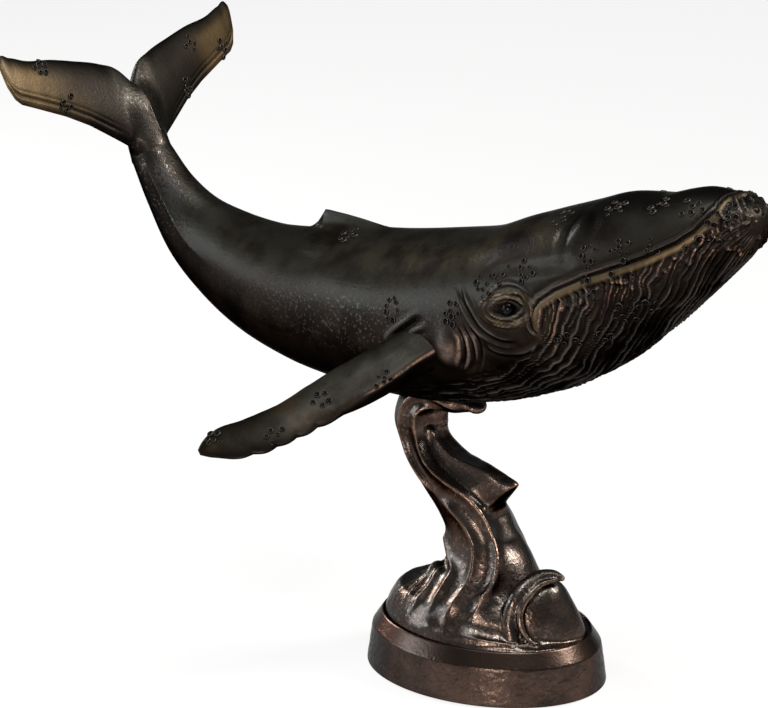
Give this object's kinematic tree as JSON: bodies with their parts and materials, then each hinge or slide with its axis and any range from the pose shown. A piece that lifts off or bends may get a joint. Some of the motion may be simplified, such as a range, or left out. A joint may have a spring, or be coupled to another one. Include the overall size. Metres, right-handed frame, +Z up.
{
  "type": "whale figurine",
  "caption": "Bronze humpback whale with raised flukes, carried by a breaking wave on an oval plinth; free-standing desk sculpture.",
  "frame": {"origin": "centre of the oval felt face that the sculpture stands on", "axes": "+X towards the whale's head, +Y to the whale's left, +Z up"},
  "size_m": [0.3144, 0.198, 0.2176],
  "materials": {
    "whale_bronze": "dark brown patinated cast bronze with blue-grey sheen",
    "wave_bronze": "dark brown patinated cast bronze, ridges rubbed to copper",
    "plinth_bronze": "dark brown patinated bronze, edges rubbed",
    "eye_glass": "polished black glass bead",
    "steel": "plain zinc-plated steel",
    "bush_brass": "turned brass",
    "iron": "rough cast",
    "felt": "dark green wool felt"
  },
  "bodies": {
    "root": {"felt_pad": "felt", "plinth": "plinth_bronze", "ballast": "iron", "foot_washers": "steel", "foot_screws": "steel", "wave_stand": "wave_bronze", "belly_stud": "steel", "locating_pin": "steel", "belly_insert": "bush_brass", "whale_body": "whale_bronze", "right_eye": "eye_glass", "left_eye": "eye_glass", "right_pectoral_fin": "whale_bronze", "left_pectoral_fin": "whale_bronze", "right_fin_dowel": "steel", "left_fin_dowel": "steel", "tail_flukes": "whale_bronze", "fluke_dowel": "steel"}
  },
  "joints": []
}
